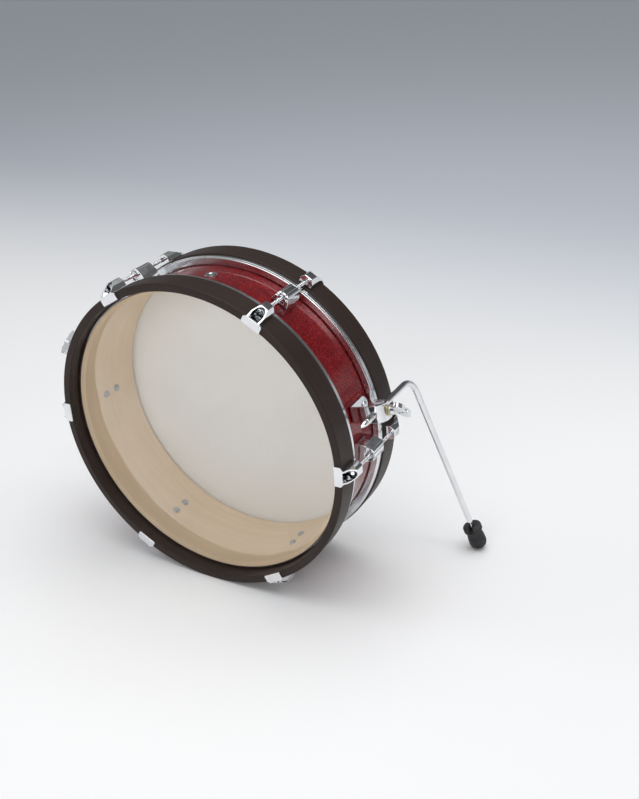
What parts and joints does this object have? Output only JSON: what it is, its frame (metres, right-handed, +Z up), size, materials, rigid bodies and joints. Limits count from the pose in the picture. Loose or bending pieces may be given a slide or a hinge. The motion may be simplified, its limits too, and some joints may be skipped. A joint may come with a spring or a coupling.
{
  "type": "bass drum",
  "caption": "Shallow bass drum: sparkle red shell, two heads in dark wood hoops held by claw hooks and tension rods, double-ended lugs and two folding spurs.",
  "frame": {"origin": "middle of the footprint, hoops and spur feet, on the floor", "axes": "+Z up; Y along the drum's axis, batter head towards -Y and resonant head towards +Y; +X to the drummer's right"},
  "size_m": [0.7248, 0.2618, 0.487],
  "materials": {
    "shell_lacquer": "high-gloss sparkle finish outside, bare light wood inside",
    "hoop_wood": "satin, dark stained",
    "clear_film": "clear gloss",
    "coated_film": "satin white coat",
    "aluminium": "plain rolled",
    "chrome": "polished plate",
    "brass": "satin",
    "rubber": "moulded matt"
  },
  "bodies": {
    "drum": {"shell": "shell_lacquer", "vent_grommet": "chrome", "batter_head_film": "clear_film", "batter_flesh_hoop": "aluminium", "batter_hoop": "hoop_wood", "resonant_head_film": "coated_film", "resonant_flesh_hoop": "aluminium", "resonant_hoop": "hoop_wood", "batter_claw_right": "chrome", "batter_claw_upper_right": "chrome", "batter_claw_upper_left": "chrome", "batter_claw_left": "chrome", "batter_claw_lower_left": "chrome", "batter_claw_lower_right": "chrome", "resonant_claw_right": "chrome", "resonant_claw_upper_right": "chrome", "resonant_claw_upper_left": "chrome", "resonant_claw_left": "chrome", "resonant_claw_lower_left": "chrome", "resonant_claw_lower_right": "chrome", "lug_right": "chrome", "lug_upper_right": "chrome", "lug_upper_left": "chrome", "lug_left": "chrome", "lug_lower_left": "chrome", "lug_lower_right": "chrome", "spur_bracket_right": "chrome", "bracket_screw_right_1": "chrome", "bracket_screw_right_2": "chrome", "eye_bolt_right": "chrome", "spring_washer_right": "brass", "spur_bracket_left": "chrome", "bracket_screw_left_1": "chrome", "bracket_screw_left_2": "chrome", "eye_bolt_left": "chrome", "spring_washer_left": "brass"},
    "batter_rod_right": {"batter_rod_right": "chrome"},
    "batter_rod_upper_right": {"batter_rod_upper_right": "chrome"},
    "batter_rod_upper_left": {"batter_rod_upper_left": "chrome"},
    "batter_rod_left": {"batter_rod_left": "chrome"},
    "batter_rod_lower_left": {"batter_rod_lower_left": "chrome"},
    "batter_rod_lower_right": {"batter_rod_lower_right": "chrome"},
    "resonant_rod_right": {"resonant_rod_right": "chrome"},
    "resonant_rod_upper_right": {"resonant_rod_upper_right": "chrome"},
    "resonant_rod_upper_left": {"resonant_rod_upper_left": "chrome"},
    "resonant_rod_left": {"resonant_rod_left": "chrome"},
    "resonant_rod_lower_left": {"resonant_rod_lower_left": "chrome"},
    "resonant_rod_lower_right": {"resonant_rod_lower_right": "chrome"},
    "wing_nut_right": {"wing_nut_right": "chrome"},
    "spur_leg_right": {"spur_leg_right": "chrome"},
    "spur_foot_right": {"spur_foot_right": "rubber"},
    "wing_nut_left": {"wing_nut_left": "chrome"},
    "spur_leg_left": {"spur_leg_left": "chrome"},
    "spur_foot_left": {"spur_foot_left": "rubber"}
  },
  "joints": [
    {"name": "batter_rod_right_turn", "type": "hinge", "parent": "drum", "child": "batter_rod_right", "pos_m": [0.251, -0.0436, 0.2435], "axis": [0, -1, 0], "continuous": true},
    {"name": "batter_rod_upper_right_turn", "type": "hinge", "parent": "drum", "child": "batter_rod_upper_right", "pos_m": [0.1255, -0.0436, 0.46087], "axis": [0, -1, 0], "continuous": true},
    {"name": "batter_rod_upper_left_turn", "type": "hinge", "parent": "drum", "child": "batter_rod_upper_left", "pos_m": [-0.1255, -0.0436, 0.46087], "axis": [0, -1, 0], "continuous": true},
    {"name": "batter_rod_left_turn", "type": "hinge", "parent": "drum", "child": "batter_rod_left", "pos_m": [-0.251, -0.0436, 0.2435], "axis": [0, -1, 0], "continuous": true},
    {"name": "batter_rod_lower_left_turn", "type": "hinge", "parent": "drum", "child": "batter_rod_lower_left", "pos_m": [-0.1255, -0.0436, 0.02613], "axis": [0, -1, 0], "continuous": true},
    {"name": "batter_rod_lower_right_turn", "type": "hinge", "parent": "drum", "child": "batter_rod_lower_right", "pos_m": [0.1255, -0.0436, 0.02613], "axis": [0, -1, 0], "continuous": true},
    {"name": "resonant_rod_right_turn", "type": "hinge", "parent": "drum", "child": "resonant_rod_right", "pos_m": [0.251, -0.0436, 0.2435], "axis": [0, 1, 0], "continuous": true},
    {"name": "resonant_rod_upper_right_turn", "type": "hinge", "parent": "drum", "child": "resonant_rod_upper_right", "pos_m": [0.1255, -0.0436, 0.46087], "axis": [0, 1, 0], "continuous": true},
    {"name": "resonant_rod_upper_left_turn", "type": "hinge", "parent": "drum", "child": "resonant_rod_upper_left", "pos_m": [-0.1255, -0.0436, 0.46087], "axis": [0, 1, 0], "continuous": true},
    {"name": "resonant_rod_left_turn", "type": "hinge", "parent": "drum", "child": "resonant_rod_left", "pos_m": [-0.251, -0.0436, 0.2435], "axis": [0, 1, 0], "continuous": true},
    {"name": "resonant_rod_lower_left_turn", "type": "hinge", "parent": "drum", "child": "resonant_rod_lower_left", "pos_m": [-0.1255, -0.0436, 0.02613], "axis": [0, 1, 0], "continuous": true},
    {"name": "resonant_rod_lower_right_turn", "type": "hinge", "parent": "drum", "child": "resonant_rod_lower_right", "pos_m": [0.1255, -0.0436, 0.02613], "axis": [0, 1, 0], "continuous": true},
    {"name": "wing_nut_right_turn", "type": "hinge", "parent": "drum", "child": "wing_nut_right", "pos_m": [0.28151, -0.0436, 0.31317], "axis": [0.9707, 0, 0.2402], "continuous": true},
    {"name": "spur_leg_right_swing", "type": "hinge", "parent": "drum", "child": "spur_leg_right", "pos_m": [0.25773, -0.0436, 0.30728], "axis": [0, 1, 0], "range_deg": [-100, 60]},
    {"name": "spur_foot_right_turn", "type": "hinge", "parent": "spur_leg_right", "child": "spur_foot_right", "pos_m": [0.25773, 0.0674, 0.30728], "axis": [0.2918, 0.1597, -0.943], "continuous": true},
    {"name": "wing_nut_left_turn", "type": "hinge", "parent": "drum", "child": "wing_nut_left", "pos_m": [-0.28151, -0.0436, 0.31317], "axis": [-0.9707, 0, 0.2402], "continuous": true},
    {"name": "spur_leg_left_swing", "type": "hinge", "parent": "drum", "child": "spur_leg_left", "pos_m": [-0.25773, -0.0436, 0.30728], "axis": [0, -1, 0], "range_deg": [-100, 60]},
    {"name": "spur_foot_left_turn", "type": "hinge", "parent": "spur_leg_left", "child": "spur_foot_left", "pos_m": [-0.25773, 0.0674, 0.30728], "axis": [-0.2918, 0.1597, -0.943], "continuous": true}
  ]
}
